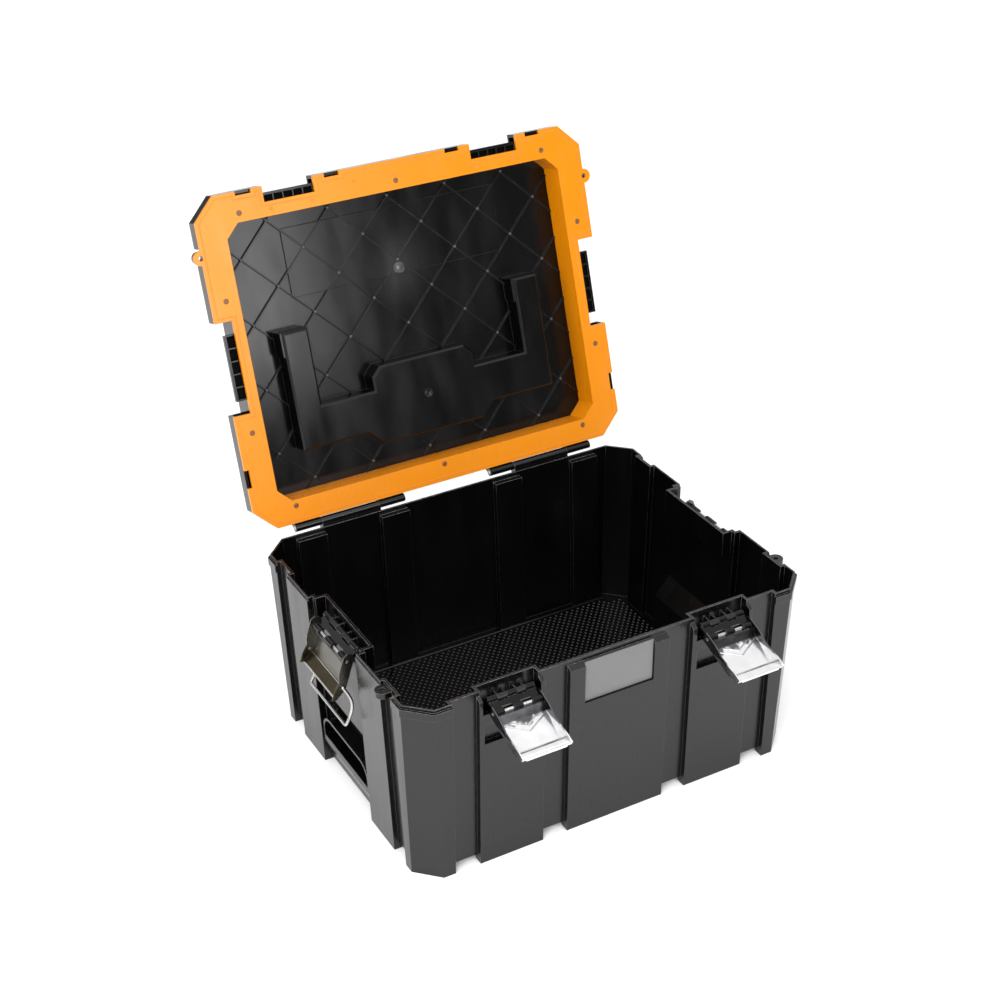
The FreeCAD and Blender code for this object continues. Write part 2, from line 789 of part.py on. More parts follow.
def lid_ribs():
    """Crossed ribs at 45 degrees inside the frame."""
    z0 = LID_TOP - SKIN - RIB_H
    z1 = LID_TOP - SKIN / 2
    clear = RIB_CLEAR
    region = octagon(OPENING_HALF - clear, OPENING_FRONT + clear, OPENING_BACK - clear, OPENING_CORNER)
    strips = []
    count = int(LENGTH / RIB_PITCH) + 1
    for i in range(-count, count + 1):
        for angle in (45, -45):
            strip = block(-FAR, FAR, -RIB_W / 2, RIB_W / 2, z0, z1)
            strip.rotate(V(0, 0, 0), V(0, 0, 1), angle)
            strip.translate(V(i * RIB_PITCH, RIB_CROSS_Y, 0))
            strips.append(strip)
    return [prism(region, z0, z1).common(fuse(strips))]


def make_lid_shell():
    flange = prism(octagon(HALF_X, -HALF_Y, HALF_Y, CORNER), FRAME_TOP, FLANGE_TOP)
    skirt = octagon(HALF_X - SKIN, -HALF_Y + SKIN, HALF_Y - SKIN, CORNER - SKIN * (2 - math.sqrt(2)))
    flange = flange.cut(prism(skirt, FRAME_TOP - OVER, FLANGE_TOP - SKIN))
    dome = prism(octagon(DOME_X, DOME_FRONT, DOME_BACK, DOME_CORNER), FRAME_TOP, LID_TOP)
    edges = [e for e in dome.Edges if e.BoundBox.ZMin > LID_TOP - OVER]
    dome = dome.makeFillet(SKIN, edges)
    shell = flange.fuse(dome)
    corner = DOME_CORNER - SKIN * (2 - math.sqrt(2))
    inner = octagon(DOME_X - SKIN, DOME_FRONT + SKIN, DOME_BACK - SKIN, corner)
    hollow = prism(inner, FRAME_TOP - OVER, LID_TOP - SKIN)
    handle_bulge = prism(handle_outline(0), RECESS_FLOOR - RECESS_WALL, LID_TOP - SKIN)
    bulges = [
        bevelled_below(handle_bulge, RECESS_BEVEL),
        block(
            -TOP_PANEL_HALF - SKIN,
            TOP_PANEL_HALF + SKIN,
            TOP_PANEL_Y0 - SKIN,
            TOP_PANEL_Y1 + SKIN,
            LID_TOP - SKIN - TOP_PANEL_DEEP,
            LID_TOP - SKIN,
        ),
    ]
    shell = shell.cut(hollow.cut(bulges + pivot_bosses()))
    low = FRAME_TOP - OVER
    high = FLANGE_TOP + OVER
    shell = shell.cut(lid_edge_notches(low, high) + eye_relief(low, high))
    extras = catches() + lid_ribs()
    for shape in lid_hinges():
        extras += both_sides(shape)
    shell = fuse([shell] + extras)
    cuts = [prism(handle_outline(-RECESS_WALL), RECESS_FLOOR, LID_TOP + OVER)]
    cuts.append(
        block(
            -TOP_PANEL_HALF,
            TOP_PANEL_HALF,
            TOP_PANEL_Y0,
            TOP_PANEL_Y1,
            LID_TOP - TOP_PANEL_DEEP,
            LID_TOP + OVER,
        )
    )
    cuts += both_sides(hinge_bore(RUN_CLEAR))
    cuts += both_sides(handle_bore(RUN_CLEAR / 2))
    return shell.cut(cuts)


def make_lid_frame():
    ring = prism(octagon(HALF_X, -HALF_Y, HALF_Y, CORNER), SEAT_Z, FRAME_TOP)
    outer = octagon(
        OPENING_HALF + FRAME_WALL,
        OPENING_FRONT - FRAME_WALL,
        OPENING_BACK + FRAME_WALL,
        OPENING_CORNER + FRAME_WALL * (2 - math.sqrt(2)),
    )
    wall = prism(outer, SEAT_Z, LID_TOP - SKIN - FRAME_WALL_GAP)
    inner = octagon(OPENING_HALF, OPENING_FRONT, OPENING_BACK, OPENING_CORNER)
    opening = prism(inner, SEAT_Z - OVER, LID_TOP)
    eyes = both_sides(padlock_eye(SEAT_Z, FRAME_TOP, OPENING_HALF + FRAME_WALL))
    frame = fuse([ring, wall] + eyes)
    cuts = [opening] + lid_edge_notches(SEAT_Z - OVER, FRAME_TOP + OVER)
    cuts += both_sides(padlock_hole(SEAT_Z, FRAME_TOP))
    for x0, x1 in STEP_SPANS:
        step = block(x0, x1, -HALF_Y - OVER, -HALF_Y + STEP_DEEP, SEAT_Z - OVER, FRAME_TOP + OVER)
        cuts += both_sides(step)
    rear = block(
        HALF_X - REAR_NOTCH_DEEP, HALF_X + OVER, REAR_NOTCH_Y0, REAR_NOTCH_Y1, SEAT_Z - OVER, FRAME_TOP + OVER
    )
    cuts += both_sides(rear)
    return frame.cut(cuts)


# Carry handle

HANDLE_Z = RECESS_FLOOR + HANDLE_CLEAR + HANDLE_THICK / 2


def handle_pin():
    middle = (ARM_IN + ARM_OUT) / 2
    return rod((middle, HANDLE_PIVOT_Y, HANDLE_Z), (1, 0, 0), HANDLE_PIN_R, ARM_OUT - ARM_IN)


def handle_bore(clear):
    return bore(ARM_IN, ARM_OUT, HANDLE_PIVOT_Y, HANDLE_Z, HANDLE_PIN_R + clear)


def make_handle():
    """Two arms with round pivot ends and a flat grip across them."""
    gap = RECESS_WALL + HANDLE_CLEAR
    arm_out = ARM_OUT - gap
    arm_in = ARM_IN + gap
    bar_front = BAR_FRONT_Y + gap + HANDLE_SWING_CLEAR
    bar_back = BAR_BACK_Y - gap
    z0 = HANDLE_Z - HANDLE_THICK / 2
    z1 = HANDLE_Z + HANDLE_THICK / 2
    outline = [
        (arm_in, bar_front),
        (arm_in, HANDLE_PIVOT_Y),
        (arm_out, HANDLE_PIVOT_Y),
        (arm_out, bar_back),
        (-arm_out, bar_back),
        (-arm_out, HANDLE_PIVOT_Y),
        (-arm_in, HANDLE_PIVOT_Y),
        (-arm_in, bar_front),
    ]
    body = prism(outline, z0, z1)
    grip_edges = []
    for edge in body.Edges:
        box = edge.BoundBox
        along_bar = box.XLength > 2 * arm_in - OVER
        if along_bar and box.ZLength < OVER:
            grip_edges.append(edge)
    body = body.makeFillet(HANDLE_EDGE_R, grip_edges)
    pivot = ((arm_in + arm_out) / 2, HANDLE_PIVOT_Y, HANDLE_Z)
    ends = both_sides(rod(pivot, (1, 0, 0), HANDLE_THICK / 2, arm_out - arm_in))
    body = fuse([body] + ends)
    return body.cut(both_sides(handle_bore(RUN_CLEAR)))


# Latches


class Latch:
    """A draw latch, written about its hinge axis with X along the wall and -Y outwards, then placed."""

    def __init__(self, name, origin, yaw, width, plate_end, link_deg, lever_deg, claws):
        self.name = name
        self.origin = V(*origin)
        self.yaw = yaw
        self.width = width
        self.plate_end = plate_end
        self.link_deg = link_deg
        self.lever_deg = lever_deg
        self.claws = claws
        self.inner_half = width / 2 - SHEET - BAIL_SIDE_GAP
        self.pitch = 2 * self.inner_half / LATCH_KNUCKLES

    def place(self, shape):
        placed = shape.copy()
        placed.rotate(V(0, 0, 0), V(0, 0, 1), self.yaw)
        placed.translate(self.origin)
        return placed

    def spans(self, on_link):
        """X ranges of the hinge knuckles: three on the link, two between them on the tub."""
        result = []
        for i in range(LATCH_KNUCKLES):
            x0 = i * self.pitch - self.inner_half
            if (i % 2 == 0) == on_link:
                result.append((x0 + HINGE_GAP / 2, x0 + self.pitch - HINGE_GAP / 2))
        return result

    def tub_knuckles(self):
        """Barrels on thin ribs that stand out from the pocket's back."""
        back = (FRONT_POCKET_DEEP - FRONT_PIVOT_IN) if self.claws else (SIDE_POCKET_DEEP - SIDE_PIVOT_IN)
        shapes = []
        for x0, x1 in self.spans(False):
            shapes.append(knuckle(x0, x1, 0))
            for x in (x0, x1 - POCKET_RIB):
                shapes.append(block(x, x + POCKET_RIB, 0, back + WALL, -POCKET_RIB_DOWN, POCKET_RIB_UP))
        return shapes

    def link_pin(self):
        return rod((0, 0, 0), (1, 0, 0), LINK_PIN_R, 2 * self.inner_half - HINGE_GAP)

    def link_bore(self, clear):
        half = self.inner_half - HINGE_GAP / 2
        return bore(-half, half, 0, 0, LINK_PIN_R + clear)

    def link(self):
        """A sunken web with three knuckles on the tub's pin and three on the lever's, then turned."""
        half = self.inner_half - HINGE_GAP / 2
        clear = KNUCKLE_R + 2 * HINGE_GAP
        low = -LINK_WEB_LOW
        high = low + LINK_WEB
        shapes = [block(-half, half, clear - LINK_REACH, -clear, low, high)]
        for x0, x1 in self.spans(True):
            shapes.append(knuckle(x0, x1, 0))
            shapes.append(knuckle(x0, x1, -LINK_REACH))
            shapes.append(block(x0, x1, -LINK_REACH, 0, low, high))
        body = fuse(shapes)
        lever_bore = bore(-half, half, -LINK_REACH, 0, LEVER_PIN_R + RUN_CLEAR)
        body = body.cut([self.link_bore(RUN_CLEAR), lever_bore])
        body.rotate(V(0, 0, 0), V(1, 0, 0), self.link_deg - 180)
        return body

    def at_lever(self, shape):
        """Turns a lever piece about the link's outer axis and moves it there."""
        turned = shape.copy()
        turned.rotate(V(0, 0, 0), V(1, 0, 0), self.lever_deg - 180)
        angle = math.radians(self.link_deg)
        turned.translate(V(0, LINK_REACH * math.cos(angle), LINK_REACH * math.sin(angle)))
        return turned

    def flange_outline(self):
        """Side view of a lever flange, (along, up) from the lever's axis."""
        low = -PLATE_DROP - SHEET / 2
        bend = math.radians(LIP_FACET_DEG)
        tip_u = self.plate_end + LIP_FACET * math.cos(bend)
        tip_v = low + LIP_FACET * math.sin(bend)
        crest = KNUCKLE_R + CREST_PROUD
        wave = [(tip_u + WAVE_TIP[0], tip_v + WAVE_TIP[1])]
        wave += [(self.plate_end + along, up) for along, up in WAVE_OUTER]
        wave += WAVE_INNER + [(CREST_START, crest), (-CREST_END, crest)]
        if self.claws:
            nose = [
                (-CLAW_RISE, 0),
                (-CLAW_RISE, -CLAW_REACH),
                (-CLAW_RISE + CLAW_THICK, -CLAW_REACH),
                (-CLAW_RISE + CLAW_THICK, low),
            ]
        else:
            nose = NOSE + [(-NOSE_HEEL, low)]
        return [(self.plate_end, low), (tip_u, tip_v)] + wave + nose

    def lever(self):
        """Stamped sheet: plate, a ramp up to the barrel, a finger lip with a hem, and two side flanges."""
        half = self.width / 2
        low = -PLATE_DROP - SHEET / 2
        plate = block(-half, half, -self.plate_end, -PLATE_START, low, low + SHEET)
        ramp = block(-half, half, 0, RAMP_LENGTH, 0, SHEET)
        ramp.rotate(V(0, 0, 0), V(1, 0, 0), RAMP_DEG)
        ramp.translate(V(0, -PLATE_START, low))
        facet = block(-half, half, -LIP_FACET, LIP_LAP, 0, SHEET)
        hem_half = half - LIP_HEM_IN
        hem = block(-hem_half, hem_half, -LIP_FACET, LIP_HEM - LIP_FACET, -SHEET, SHEET / 2)
        facet = facet.fuse(hem)
        facet.rotate(V(0, 0, 0), V(1, 0, 0), -LIP_FACET_DEG)
        facet.translate(V(0, -self.plate_end, low))
        outline = [(-u, v) for u, v in self.flange_outline()]
        flanges = both_sides(prism_x(outline, half - SHEET, half))
        body = fuse([plate, ramp, facet] + flanges)
        cuts = [bore(-half, half, 0, 0, LEVER_PIN_R + RUN_CLEAR / 2)]
        if not self.claws:
            cuts.append(bore(-half, half, -BAIL_U, BAIL_V, BAIL_R + RUN_CLEAR))
        return self.at_lever(body.cut(cuts))

    def lever_pin(self):
        return self.at_lever(rod((0, 0, 0), (1, 0, 0), LEVER_PIN_R, self.width + 2 * LEVER_PIN_PROUD))

    def bail(self):
        """Bent wire: feet through the flanges, bowed arms and a straight bar."""
        foot = self.width / 2 - SHEET - OVER
        side = [V(foot, 0, 0)]
        for i in range(BAIL_STEPS + 1):
            share = i / BAIL_STEPS
            side.append(V(BAIL_HALF, BAIL_BOW * math.sin(math.pi * share), -BAIL_DROP * share))
        other = [V(-p.x, p.y, p.z) for p in reversed(side)]
        wire = bent_wire(side + other, BAIL_R)
        angle = math.radians(self.lever_deg - 180)
        y = -BAIL_U * math.cos(angle) - BAIL_V * math.sin(angle)
        z = -BAIL_U * math.sin(angle) + BAIL_V * math.cos(angle)
        reach = math.radians(self.link_deg)
        wire.translate(V(0, y + LINK_REACH * math.cos(reach), z + LINK_REACH * math.sin(reach)))
        return wire


FRONT = (FRONT_LEVER_W, FRONT_PLATE_END, FRONT_LINK_DEG, FRONT_LEVER_DEG, True)
SIDE = (SIDE_LEVER_W, SIDE_PLATE_END, SIDE_LINK_DEG, SIDE_LEVER_DEG, False)
LATCHES = [
    Latch("front_left", (-FRONT_LATCH_X, -HALF_Y + FRONT_PIVOT_IN, PIVOT_Z), 0, *FRONT),
    Latch("front_right", (FRONT_LATCH_X, -HALF_Y + FRONT_PIVOT_IN, PIVOT_Z), 0, *FRONT),
    Latch("side_left", (-HALF_X + SIDE_PIVOT_IN, 0, PIVOT_Z), -90, *SIDE),
    Latch("side_right", (HALF_X - SIDE_PIVOT_IN, 0, PIVOT_Z), 90, *SIDE),
]

os.makedirs("parts", exist_ok=True)
save("tub", make_tub())
save("label_card", make_label())
for side, pin in zip(("right", "left"), both_sides(hinge_pin())):
    save(f"hinge_pin_{side}", pin)
save("lid_shell", open_lid(make_lid_shell()))
save("lid_frame", open_lid(make_lid_frame()))
save("handle_pins", open_lid(Part.makeCompound(both_sides(handle_pin()))))
save("carry_handle", open_lid(make_handle()))
for latch in LATCHES:
    save(f"{latch.name}_link_pin", latch.place(latch.link_pin()))
    save(f"{latch.name}_link", latch.place(latch.link()))
    save(f"{latch.name}_lever", latch.place(latch.lever()))
    save(f"{latch.name}_lever_pin", latch.place(latch.lever_pin()))
    if not latch.claws:
        save(f"{latch.name}_bail", latch.place(latch.bail()))
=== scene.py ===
import math

import bpy
from mathutils import Matrix, Vector


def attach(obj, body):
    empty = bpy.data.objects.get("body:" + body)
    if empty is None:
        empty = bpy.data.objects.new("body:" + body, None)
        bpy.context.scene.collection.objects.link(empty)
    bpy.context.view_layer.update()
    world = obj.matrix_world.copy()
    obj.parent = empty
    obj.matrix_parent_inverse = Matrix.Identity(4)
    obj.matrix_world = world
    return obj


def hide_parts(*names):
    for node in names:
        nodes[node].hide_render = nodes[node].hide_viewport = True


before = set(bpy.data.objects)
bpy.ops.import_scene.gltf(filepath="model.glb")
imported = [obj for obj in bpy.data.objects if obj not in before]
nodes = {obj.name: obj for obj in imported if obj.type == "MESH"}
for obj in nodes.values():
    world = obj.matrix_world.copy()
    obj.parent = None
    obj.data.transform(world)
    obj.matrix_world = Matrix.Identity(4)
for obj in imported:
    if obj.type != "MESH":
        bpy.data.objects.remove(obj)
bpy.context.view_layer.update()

MM = 0.001
SHARP_DEG = 50

# Sizes are in millimetres in the frame of the part. Those of the lid are for the closed lid,
# and LID_TURN opens it. Materials, lights and the camera are in metres.

# Tub
HALF_X, HALF_Y, CORNER = 220, 172, 23
GROUND_Z = -8
TUB_FLOOR_Z = 3.0

# Lid
FRAME_Z = 194.3
CEILING_Z = 226.3
RIB_Z = 223.5
BULGE_Z = 203.5
HINGE_Y, HINGE_Z = 177.5, 197.5
LID_OPEN_DEG = 107.0
GATE = (0, -58, CEILING_Z)
RIB_CROSS_Y, RIB_CROSS_STEP = -135.0, 34.0
EYE_X, EYE_Y, EYE_Z = 220.5, -114.5, 198.0

# Notches of the lid frame: from, to, depth
FRONT_NOTCHES = ((60.5, 77, 4.2), (89.4, 144.6, 16), (156.5, 173.5, 4.2))
SIDE_NOTCHES = ((-48, 48, 18.5), (104.5, 123.5, 5))

# Catches in the notches
CATCH_LOW, CATCH_HIGH = 198.0, 201.2
CATCH_RIB, CATCH_RIBS = 1.6, 6
FRONT_CATCH_HALF, FRONT_CATCH_Y = 27.6, (-162.4, -156)
SIDE_CATCH_HALF, SIDE_CATCH_X = 34, (201.5, 209.8)

# Latches: pivots in the tub, and angles of link and lever at rest
FRONT_LATCH_X, FRONT_PIVOT_Y = 117, -168
SIDE_PIVOT_X = 208
PIVOT_Z = 183
LINK_REACH = 15.0
PLATE_V = -5.4
FRONT_LINK_DEG, FRONT_LEVER_DEG = 204, 200
SIDE_LINK_DEG, SIDE_LEVER_DEG = 212, 251

hinge_line = Matrix.Translation(Vector((0, HINGE_Y, HINGE_Z)) * MM)
LID_TURN = hinge_line @ Matrix.Rotation(math.radians(-LID_OPEN_DEG), 4, "X") @ hinge_line.inverted()


# Node helpers


def new_material(name):
    mat = bpy.data.materials.new(name)
    mat.use_nodes = True
    return mat, mat.node_tree, mat.node_tree.nodes["Principled BSDF"]


def link(tree, a, b):
    tree.links.new(a, b)


def coordinates(tree, scale=(1, 1, 1)):
    """Object coordinates in metres, stretched by scale."""
    source = tree.nodes.new("ShaderNodeTexCoord")
    mapping = tree.nodes.new("ShaderNodeMapping")
    mapping.inputs["Scale"].default_value = scale
    link(tree, source.outputs["Object"], mapping.inputs["Vector"])
    return mapping.outputs["Vector"]


def height_of(tree, vector):
    """The Z of a vector."""
    split = tree.nodes.new("ShaderNodeSeparateXYZ")
    link(tree, vector, split.inputs["Vector"])
    return split.outputs["Z"]


def noise(tree, vector, scale=1.0, detail=2.0, rough=0.5):
    node = tree.nodes.new("ShaderNodeTexNoise")
    node.inputs["Scale"].default_value = scale
    node.inputs["Detail"].default_value = detail
    node.inputs["Roughness"].default_value = rough
    link(tree, vector, node.inputs["Vector"])
    return node.outputs["Fac"]


def remap(tree, value, source, target):
    """Maps the range source, (low, high), to the range target and holds its ends."""
    node = tree.nodes.new("ShaderNodeMapRange")
    node.inputs["From Min"].default_value, node.inputs["From Max"].default_value = source
    node.inputs["To Min"].default_value, node.inputs["To Max"].default_value = target
    link(tree, value, node.inputs["Value"])
    return node.outputs["Result"]


def combined(tree, operation, a, b):
    """Two values added or multiplied."""
    node = tree.nodes.new("ShaderNodeMath")
    node.operation = operation
    link(tree, a, node.inputs[0])
    link(tree, b, node.inputs[1])
    return node.outputs["Value"]


def compared(tree, operation, a, b):
    """A distance or dot product of the socket a with b, a socket or a fixed vector."""
    node = tree.nodes.new("ShaderNodeVectorMath")
    node.operation = operation
    link(tree, a, node.inputs[0])
    if isinstance(b, Vector):
        node.inputs[1].default_value = b
    else:
        link(tree, b, node.inputs[1])
    return node.outputs["Value"]


def ramp(tree, value, stops):
    node = tree.nodes.new("ShaderNodeValToRGB")
    elements = node.color_ramp.elements
    while len(elements) < len(stops):
        elements.new(0.5)
    for element, (place, colour) in zip(elements, stops):
        element.position = place
        element.color = (*colour, 1)
    link(tree, value, node.inputs["Fac"])
    return node.outputs["Color"]


def mixed(tree, factor, a, b):
    """Colour a where factor is 0 and colour b where it is 1."""
    node = tree.nodes.new("ShaderNodeMix")
    node.data_type = "RGBA"
    link(tree, factor, node.inputs[0])
    link(tree, a, node.inputs[6])
    link(tree, b, node.inputs[7])
    return node.outputs[2]


def rounded_edges(tree, radius):
    """A normal that is rounded at the edges, and a factor that is 1 on them."""
    bevel = tree.nodes.new("ShaderNodeBevel")
    bevel.samples = 6
    bevel.inputs["Radius"].default_value = radius
    normal = bevel.outputs["Normal"]
    flat = tree.nodes.new("ShaderNodeNewGeometry").outputs["True Normal"]
    return normal, remap(tree, compared(tree, "DOT_PRODUCT", normal, flat), (0.99, 0.80), (0.0, 1.0))


def bump(tree, height, normal, strength):
    node = tree.nodes.new("ShaderNodeBump")
    node.inputs["Strength"].default_value = strength
    node.inputs["Distance"].default_value = 0.0001
    link(tree, height, node.inputs["Height"])
    link(tree, normal, node.inputs["Normal"])
    return node.outputs["Normal"]


# Materials


def grey(level):
    return (level, level, level)


def scaled(colour, factor):
    return tuple(factor * c for c in colour)


def gate_haze(tree, place):
    """A factor that fades away from the lid's gate, on the faces that look into the box."""
    away = compared(tree, "DISTANCE", place, LID_TURN @ (Vector(GATE) * MM))
    normal = tree.nodes.new("ShaderNodeTexCoord").outputs["Normal"]
    facing = compared(tree, "DOT_PRODUCT", normal, LID_TURN.to_3x3() @ Vector((0, 0, -1)))
    near = remap(tree, away, (0.006, 0.046), (1.0, 0.0))
    return combined(tree, "MULTIPLY", near, remap(tree, facing, (0.6, 0.9), (0.0, 1.0)))


def moulded_plastic(name, dark, pale, edge_wear_and_highlight, rough, grain=0.1, edge_radius=0.0007, shine=0.5,
                    wear_and_highlight_z=None, haze=None):
    """Injection-moulded plastic: fine grain, cloudy colour, flow streaks in the gloss, paler edges that are
    partly rubbed wear and partly painted highlight.

    Above the given edge height the edges are pale in full, a painted highlight along the rims; lower down
    they are faint. haze is the grey of the lid's gate mark.
    """
    mat, tree, shader = new_material(name)
    place = coordinates(tree)
    cloud = noise(tree, place, scale=14.0, detail=4.0)
    flow = noise(tree, coordinates(tree, (40, 40, 6)), detail=3.0)
    grit = noise(tree, place, scale=2600.0)
    edge_mottle = noise(tree, place, scale=240.0, detail=3.0, rough=0.7)
    body = ramp(tree, cloud, [(0.3, dark), (0.7, pale)])
    if haze:
        halo = ramp(tree, cloud, [(0.3, grey(0.7 * haze)), (0.7, grey(haze))])
        body = mixed(tree, gate_haze(tree, place), body, halo)
    normal, edge = rounded_edges(tree, edge_radius)
    # Paler edges: partly rubbed wear, partly a painted highlight of light caught by the rounded edges.
    wear_and_highlight_mask = combined(tree, "MULTIPLY", edge, remap(tree, edge_mottle, (0.35, 0.75), (0.15, 0.9)))
    # Painted highlight: full on edges above the given height, only faint lower down.
    if wear_and_highlight_z:
        high_up = remap(tree, height_of(tree, place), (wear_and_highlight_z - 0.012, wear_and_highlight_z), (0.15, 1.0))
        wear_and_highlight_mask = combined(tree, "MULTIPLY", wear_and_highlight_mask, high_up)
    wear_and_highlight_colour = ramp(tree, edge_mottle, [(0.2, scaled(edge_wear_and_highlight, 0.8)), (0.8, edge_wear_and_highlight)])
    gloss = remap(tree, flow, (0.3, 0.7), (rough - 0.05, rough + 0.05))
    link(tree, mixed(tree, wear_and_highlight_mask, body, wear_and_highlight_colour), shader.inputs["Base Color"])
    link(tree, gloss, shader.inputs["Roughness"])
    link(tree, bump(tree, grit, normal, grain), shader.inputs["Normal"])
    shader.inputs["Specular IOR Level"].default_value = shine
    return mat


def steel(name, colour, rough, brush_axis, reflection_tint=None, reflection_z=None):
    """Plated steel: brush lines, blotches in the plating, soft edges, and an optional painted dark
    reflection.

    The painted reflection, if any, covers the side of the first of its two heights and ends at the second.
    """
    mat, tree, shader = new_material(name)
    stretch = [900, 900, 900]
    stretch[brush_axis] = 40
    lines = noise(tree, coordinates(tree, stretch), detail=3.0, rough=0.6)
    blotch = noise(tree, coordinates(tree), scale=60.0, detail=3.0)
    body = ramp(tree, blotch, [(0.25, scaled(colour, 0.88)), (0.7, colour)])
    if reflection_tint:
        waves = noise(tree, coordinates(tree, (130, 40, 220)))
        uneven = remap(tree, waves, (0.25, 0.75), (-0.0025, 0.0025))
        height = combined(tree, "ADD", height_of(tree, coordinates(tree)), uneven)
        # Painted reflection: a dark tint with a wavy edge over one end of the lever.
        painted_reflection = ramp(tree, blotch, [(0.2, reflection_tint), (0.8, scaled(reflection_tint, 1.3))])
        body = mixed(tree, remap(tree, height, reflection_z, (1.0, 0.0)), body, painted_reflection)
    gloss = remap(tree, blotch, (0.3, 0.7), (rough - 0.05, rough + 0.06))
    link(tree, body, shader.inputs["Base Color"])
    link(tree, gloss, shader.inputs["Roughness"])
    link(tree, bump(tree, lines, rounded_edges(tree, 0.0005)[0], 0.06), shader.inputs["Normal"])
    shader.inputs["Metallic"].default_value = 1.0
    return mat


def card(name):
    """Pale matt card with a faint fibre."""
    mat, tree, shader = new_material(name)
    fibre = noise(tree, coordinates(tree, (300, 900, 900)), detail=4.0, rough=0.7)
    cloud = noise(tree, coordinates(tree), scale=20.0)
    mottle = combined(tree, "MULTIPLY", fibre, cloud)
    body = ramp(tree, mottle, [(0.1, grey(0.115)), (0.45, grey(0.147))])
    link(tree, body, shader.inputs["Base Color"])
    link(tree, remap(tree, cloud, (0.3, 0.7), (0.42, 0.55)), shader.inputs["Roughness"])
    link(tree, bump(tree, fibre, rounded_edges(tree, 0.0003)[0], 0.05), shader.inputs["Normal"])
    return mat


def paper(name):
    """Matt floor paper."""
    mat, tree, shader = new_material(name)
    mottle = noise(tree, coordinates(tree), scale=6.0, detail=3.0)
    body = ramp(tree, mottle, [(0.3, grey(0.94)), (0.7, grey(0.96))])
    link(tree, body, shader.inputs["Base Color"])
    shader.inputs["Roughness"].default_value = 0.9
    return mat


# Painted highlight: the pale edge colours stand mostly for light caught by rounded edges, along with some
# rubbed wear; on the tub they are full only on the rims.
BLACK = moulded_plastic(
    "black_moulding", grey(0.0006), grey(0.0014), edge_wear_and_highlight=grey(0.36),
    rough=0.26, edge_radius=0.0008, shine=0.46, wear_and_highlight_z=0.19)
LID_BLACK = moulded_plastic(
    "black_lid", grey(0.0008), grey(0.0016), edge_wear_and_highlight=grey(0.07),
    rough=0.17, grain=0.04, shine=0.34, haze=0.018)
# Painted highlight: a paler black standing for the glints on the rib dots and the gate boss.
DOT_HIGHLIGHT_BLACK = moulded_plastic(
    "black_dot_painted_highlight", grey(0.035), grey(0.05), edge_wear_and_highlight=grey(0.1), rough=0.2, grain=0.04)
LINK_BLACK = moulded_plastic(
    "black_link", grey(0.0008), grey(0.0016), edge_wear_and_highlight=grey(0.2), rough=0.1, grain=0.03, shine=0.25)
# Painted shade: a matt near-black for the sheets in the catches' deep pockets.
POCKET_SHADE_BLACK = moulded_plastic(
    "black_pocket_painted_shade", grey(0.0012), grey(0.002), edge_wear_and_highlight=grey(0.004), rough=0.8, shine=0.08)
ORANGE = moulded_plastic(
    "orange_moulding", (0.60, 0.187, 0.001), (0.63, 0.202, 0.002), edge_wear_and_highlight=(0.75, 0.29, 0.02),
    rough=0.27, shine=0.33)
# Painted shade: a darker orange for the low border and ejector marks, standing for the shade along their
# relief.
LINE_SHADE_ORANGE = moulded_plastic(
    "orange_line_painted_shade", (0.60, 0.15, 0.004), (0.68, 0.18, 0.005), edge_wear_and_highlight=(0.8, 0.3, 0.02), rough=0.45)
# Painted shade: a dark orange ring round each screw head for the shade of its recess.
SEAT_SHADE_ORANGE = moulded_plastic(
    "orange_screw_seat_painted_shade", (0.2, 0.045, 0.003), (0.3, 0.07, 0.004), edge_wear_and_highlight=(0.4, 0.1, 0.01), rough=0.5)
# Painted reflection: the front levers' plates are painted dark near the link.
LEVER_STEEL = steel(
    "lever_steel", (0.80, 0.80, 0.81), rough=0.2, brush_axis=1,
    reflection_tint=(0.10, 0.10, 0.105), reflection_z=(0.1675, 0.1655))
# Painted reflection: the side levers' lips are painted dark and warm low down, in the trough of the lip.
SIDE_STEEL = steel(
    "side_lever_steel", (0.16, 0.153, 0.137), rough=0.3, brush_axis=2,
    reflection_tint=(0.075, 0.062, 0.038), reflection_z=(0.143, 0.152))
WIRE_STEEL = steel("wire_steel", (0.52, 0.51, 0.49), rough=0.26, brush_axis=0)
SCREW_STEEL = steel("screw_steel", (0.18, 0.13, 0.085), rough=0.35, brush_axis=0)
CARD = card("label_card_grey")
PAPER = paper("floor_paper")


def paint(name, mat):
    slots = nodes[name].data.materials
    slots.clear()
    slots.append(mat)


for name in nodes:
    if "pin" in name or "bail" in name:
        paint(name, WIRE_STEEL)
    elif name.endswith("link"):
        paint(name, LINK_BLACK)
    elif name.endswith("lever"):
        paint(name, LEVER_STEEL if name.startswith("front") else SIDE_STEEL)
    else:
        paint(name, BLACK)
paint("lid_shell", LID_BLACK)
paint("lid_frame", ORANGE)
paint("label_card", CARD)


# Mesh helpers


